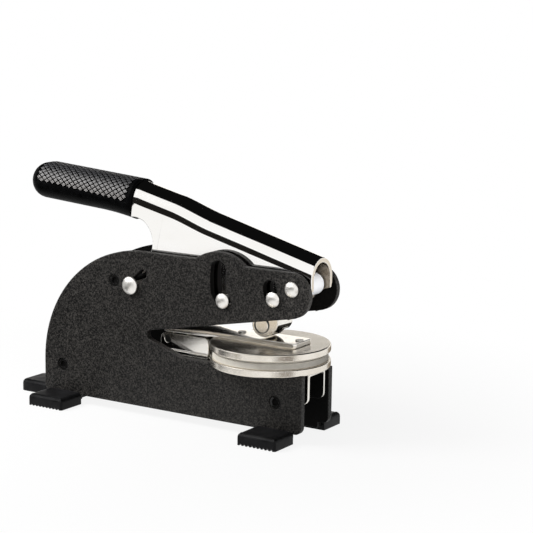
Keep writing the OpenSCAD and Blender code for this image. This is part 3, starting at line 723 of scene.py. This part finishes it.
# The tail boot reaches a little further in than its solid, where the frame leaves a gap
def makeBoot(node, name, outward, corner, inward=0.0):
    low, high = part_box(node)
    high = high.copy()
    high.x += inward
    size = high - low
    clearSelection()
    bpy.ops.mesh.primitive_cube_add(size=1, location=(low + high) / 2, scale=size)
    piece = bpy.context.object
    piece.name = name
    bpy.ops.object.transform_apply(location=True, rotation=True, scale=True)
    across = Vector((-outward.y, outward.x, 0))
    middle = (low + high) / 2
    reach = abs(size.dot(outward)) / 2
    inner = (middle - outward * reach).dot(outward)
    slack = boots["slack"]
    choose(piece, "EDGE", lambda c, d: abs(d.z) > boots["upright"] and c.dot(outward) > inner + slack)
    bpy.ops.mesh.bevel(offset=corner, segments=boots["rings"], affect="EDGES")
    choose(piece, "EDGE", lambda c, d: c.z > high.z - slack and c.dot(outward) > inner + slack)
    bpy.ops.mesh.bevel(offset=boots["shoulder"], segments=boots["rings"], affect="EDGES")
    bpy.ops.object.mode_set(mode="OBJECT")
    width = abs(size.dot(across))
    pitch = width / (boots["grooves"] + 1)
    start = middle.dot(across) - width / 2
    for i in range(1, boots["grooves"] + 1):
        for share in (-boots["grooveShare"], 0, boots["grooveShare"]):
            editAll(piece)
            place = across * (start + pitch * (i + share))
            bpy.ops.mesh.bisect(plane_co=place, plane_no=across)
    editAll(piece)
    bpy.ops.mesh.bisect(plane_co=outward * (inner + boots["plainEnd"]), plane_no=outward)
    bpy.ops.object.mode_set(mode="OBJECT")

    # The grooves stop short of the inner end
    def grooveRoot(c):
        step = (c.dot(across) - start) / pitch
        nearest = round(step)
        atRoot = 0 < nearest <= boots["grooves"] and abs(step - nearest) < boots["rootWithin"]
        return atRoot and c.z < low.z + slack and c.dot(outward) > inner + slack

    choose(piece, "VERT", grooveRoot)
    bpy.ops.transform.translate(value=(0, 0, boots["grooveDepth"]))
    bpy.ops.object.mode_set(mode="OBJECT")
    smooth(piece, boots["smoothTo"])
    settle(piece, [finishes["footRubber"]], bodyOf[node], "foot_rubber", node)


makeBoot("front_right_foot", "rubberFrontRightBoot", Vector((0, -1, 0)), boots["corner"])
makeBoot("front_left_foot", "rubberFrontLeftBoot", Vector((0, 1, 0)), boots["corner"])
makeBoot("rear_right_foot", "rubberRearRightBoot", Vector((0, -1, 0)), boots["corner"])
makeBoot("rear_left_foot", "rubberRearLeftBoot", Vector((0, 1, 0)), boots["corner"])
makeBoot("tail_foot", "rubberTailBoot", Vector((-1, 0, 0)), boots["tailCorner"], boots["tailInward"])
print("boots done")


# Camera at the photographed angle

camera = dict(
    place=Vector((353.25, -494.88, 164.85)) * mm,
    azimuth=math.radians(32.1635), elevation=math.radians(10.2182), roll=math.radians(0.8105),
    lens=113.404, sensor=36, nearest=10 * mm,
)


def makeCamera():
    turn = Matrix.Rotation(camera["azimuth"], 3, "Z")
    turn = turn @ Matrix.Rotation(math.pi / 2 - camera["elevation"], 3, "X")
    turn = turn @ Matrix.Rotation(camera["roll"], 3, "Z")
    clearSelection()
    bpy.ops.object.camera_add(location=camera["place"], rotation=turn.to_euler())
    view = bpy.context.object
    view.name = "photoCamera"
    view.data.lens = camera["lens"]
    view.data.sensor_width = camera["sensor"]
    view.data.clip_start = camera["nearest"]
    bpy.context.scene.camera = view


makeCamera()


# Studio: pale floor, soft lamps, and cards that only polished metal sees

studio = dict(
    floorSize=6.0, floorDrop=0.02 * mm, floorColor=0.95, bounceColor=0.22,
    nearGlow=0.88, fadeFrom=0.05, fadeTo=0.2, ambient=0.19, aimHeight=0.04,
    key=dict(direction=(-0.6, -0.46, 0.655), distance=0.36, size=0.18, power=1.5),
    fill=dict(direction=(0.86, -0.42, 0.16), distance=1.1, size=0.5, power=0.22),
    bushSpot=dict(
        node="pivot_bush", direction=(0.9, -0.42, 0.15), distance=0.5, power=9.0, cone=math.radians(4)),
    dieSpot=dict(
        node="counter_die", direction=(0.75, -0.65, 0.05), distance=0.5, power=2.2, cone=math.radians(6)),
    spotSize=2 * mm,
    veilGap=4 * mm,
)

# Cards by their corners in metres; only polished pieces see them, so their colours are painted reflections:
# dark ones paint shade into reflections in slots, arms and rims, tinted and bright ones paint warm and pale
# reflections
cards = {
    "overheadCard": dict(color=(0.004, 0.004, 0.004), corners=[
        (-1.2, -0.2, 0.55), (0.9, -0.2, 0.55), (0.9, 1.29, 0.41), (-1.7, 1.29, 0.41)]),
    "standingCard": dict(color=(0.012, 0.011, 0.01), corners=[
        (-1.0, -0.05, 0), (0.33, -0.945, 0), (0.33, -0.945, 0.28), (-1.0, -0.05, 0.28)]),
    "slotFloorCard": dict(color=(0.002, 0.002, 0.002), corners=[
        (-0.21, -0.271, 0.002), (-0.07, -0.271, 0.002), (-0.07, -0.19, 0.002), (-0.21, -0.19, 0.002)]),
    "slotTopFloorCard": dict(color=(0.002, 0.002, 0.002), corners=[
        (-0.175, -0.3, 0.002), (-0.149, -0.3, 0.002), (-0.142, -0.271, 0.002), (-0.175, -0.271, 0.002)]),
    "leftFloorCard": dict(color=(0.012, 0.011, 0.01), corners=[
        (-0.25, -0.16, 0.003), (-0.05, -0.16, 0.003), (-0.05, -0.03, 0.003), (-0.25, -0.03, 0.003)]),
    "armFloorCard": dict(color=(0.03, 0.024, 0.018), corners=[
        (-0.05, -0.131, 0.004), (0.0, -0.131, 0.004), (0.0, -0.108, 0.004), (-0.05, -0.108, 0.004)]),
    "toeFloorCard": dict(color=(0.76, 0.68, 0.57), corners=[
        (-0.09, -0.18, 0.004), (-0.02, -0.18, 0.004), (-0.02, -0.133, 0.004), (-0.09, -0.133, 0.004)]),
    "warmFloorCard": dict(color=(0.14, 0.11, 0.08), corners=[
        (0.12, -0.12, 0.003), (0.27, -0.12, 0.003), (0.27, -0.035, 0.003), (0.12, -0.035, 0.003)]),
    "rearFloorCard": dict(color=(0.25, 0.205, 0.155), corners=[
        (0.0, 0.08, 0.003), (0.085, 0.08, 0.003), (0.085, 0.22, 0.003), (0.0, 0.22, 0.003)]),
    "endFloorCard": dict(color=(0.74, 0.68, 0.59), corners=[
        (0.14, 0.2, 0.003), (0.32, 0.2, 0.003), (0.32, 0.4, 0.003), (0.14, 0.4, 0.003)]),
    "discSkyCard": dict(color=(1.4, 1.35, 1.27), corners=[
        (-1.7, 1.3, 0.22), (0.2, 1.3, 0.22), (0.2, 1.3, 0.405), (-1.7, 1.3, 0.405)]),
}


def link(tree, *pairs):
    for source, target in pairs:
        tree.links.new(source, target)


def makeFloor():
    clearSelection()
    bpy.ops.mesh.primitive_plane_add(size=studio["floorSize"], location=(0, 0, -studio["floorDrop"]))
    floor = bpy.context.object
    floor.name = "paleFloor"
    material = bpy.data.materials.new("paleFloor")
    material.use_nodes = True
    tree = material.node_tree
    tree.nodes.remove(tree.nodes["Principled BSDF"])
    lit = tree.nodes.new("ShaderNodeBsdfDiffuse")
    lit.inputs["Color"].default_value = (*[studio["floorColor"]] * 3, 1)
    bounce = tree.nodes.new("ShaderNodeBsdfDiffuse")
    bounce.inputs["Color"].default_value = (*[studio["bounceColor"]] * 3, 1)
    glow = tree.nodes.new("ShaderNodeEmission")
    coords = tree.nodes.new("ShaderNodeTexCoord")
    length = tree.nodes.new("ShaderNodeVectorMath")
    length.operation = "LENGTH"
    fade = tree.nodes.new("ShaderNodeMapRange")
    fade.interpolation_type = "SMOOTHSTEP"
    for name, value in (("From Min", studio["fadeFrom"]), ("From Max", studio["fadeTo"]),
                        ("To Min", studio["nearGlow"])):
        fade.inputs[name].default_value = value
    path = tree.nodes.new("ShaderNodeLightPath")
    seen = tree.nodes.new("ShaderNodeMath")
    seen.operation = "MAXIMUM"
    shown = tree.nodes.new("ShaderNodeMixShader")
    mix = tree.nodes.new("ShaderNodeMixShader")
    link(
        tree,
        (coords.outputs["Object"], length.inputs[0]),
        (length.outputs["Value"], fade.inputs["Value"]),
        (fade.outputs["Result"], shown.inputs["Fac"]),
        (lit.outputs["BSDF"], shown.inputs[1]),
        (glow.outputs["Emission"], shown.inputs[2]),
        (path.outputs["Is Camera Ray"], seen.inputs[0]),
        (path.outputs["Is Glossy Ray"], seen.inputs[1]),
        (seen.outputs["Value"], mix.inputs["Fac"]),
        (bounce.outputs["BSDF"], mix.inputs[1]),
        (shown.outputs["Shader"], mix.inputs[2]),
        (mix.outputs["Shader"], tree.nodes["Material Output"].inputs["Surface"]),
    )
    floor.data.materials.append(material)


def makeWorld():
    world = bpy.data.worlds.new("paleStudio")
    bpy.context.scene.world = world
    world.use_nodes = True
    tree = world.node_tree
    soft = tree.nodes["Background"]
    soft.inputs["Color"].default_value = (1, 1, 1, 1)
    soft.inputs["Strength"].default_value = studio["ambient"]
    white = tree.nodes.new("ShaderNodeBackground")
    white.inputs["Color"].default_value = (1, 1, 1, 1)
    path = tree.nodes.new("ShaderNodeLightPath")
    seen = tree.nodes.new("ShaderNodeMath")
    seen.operation = "MAXIMUM"
    mix = tree.nodes.new("ShaderNodeMixShader")
    link(
        tree,
        (path.outputs["Is Camera Ray"], seen.inputs[0]),
        (path.outputs["Is Glossy Ray"], seen.inputs[1]),
        (seen.outputs["Value"], mix.inputs["Fac"]),
        (soft.outputs["Background"], mix.inputs[1]),
        (white.outputs["Background"], mix.inputs[2]),
        (mix.outputs["Shader"], tree.nodes["World Output"].inputs["Surface"]),
    )


# Polished metal sees a plain white veil in place of the lamp itself
def makeLamp(name, spec):
    direction = Vector(spec["direction"]).normalized()
    clearSelection()
    place = direction * spec["distance"] + Vector((0, 0, studio["aimHeight"]))
    bpy.ops.object.light_add(type="AREA", location=place)
    lamp = bpy.context.object
    lamp.name = name
    lamp.rotation_euler = direction.to_track_quat("Z", "Y").to_euler()
    lamp.data.shape = "SQUARE"
    lamp.data.size = spec["size"]
    lamp.data.energy = spec["power"]
    bpy.context.view_layer.update()
    half = spec["size"] / 2
    corners = [(-half, -half), (half, -half), (half, half), (-half, half)]
    makeCard(name + "Veil", dict(color=(1, 1, 1), corners=[
        lamp.matrix_world @ Vector((x, y, -studio["veilGap"])) for x, y in corners]))


# Narrow spots reach the bush inside the lever's open end and the dies between their holders
def makeSpot(name):
    spec = studio[name]
    target = sum(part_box(spec["node"]), Vector()) / 2
    direction = Vector(spec["direction"]).normalized()
    clearSelection()
    bpy.ops.object.light_add(type="SPOT", location=target + direction * spec["distance"])
    lamp = bpy.context.object
    lamp.name = name
    lamp.rotation_euler = direction.to_track_quat("Z", "Y").to_euler()
    lamp.data.spot_size = spec["cone"]
    lamp.data.spot_blend = 1.0
    lamp.data.shadow_soft_size = studio["spotSize"]
    lamp.data.energy = spec["power"]
    lamp.visible_glossy = False


def makeCard(name, spec):
    mesh = bpy.data.meshes.new(name)
    mesh.from_pydata(spec["corners"], [], [(0, 1, 2, 3)])
    card = bpy.data.objects.new(name, mesh)
    bpy.context.scene.collection.objects.link(card)
    material = bpy.data.materials.new(name)
    material.use_nodes = True
    tree = material.node_tree
    tree.nodes.remove(tree.nodes["Principled BSDF"])
    tone = tree.nodes.new("ShaderNodeEmission")
    tone.inputs["Color"].default_value = (*spec["color"], 1)
    link(tree, (tone.outputs["Emission"], tree.nodes["Material Output"].inputs["Surface"]))
    card.data.materials.append(material)
    card.visible_camera = False
    card.visible_diffuse = False
    card.visible_transmission = False
    card.visible_shadow = False


def makeStudio():
    makeFloor()
    makeWorld()
    makeLamp("keyLamp", studio["key"])
    makeLamp("fillLamp", studio["fill"])
    makeSpot("bushSpot")
    makeSpot("dieSpot")
    for name, spec in cards.items():
        makeCard(name, spec)
    bpy.context.scene.view_settings.view_transform = "Standard"


makeStudio()
print("studio done")

clearSelection()
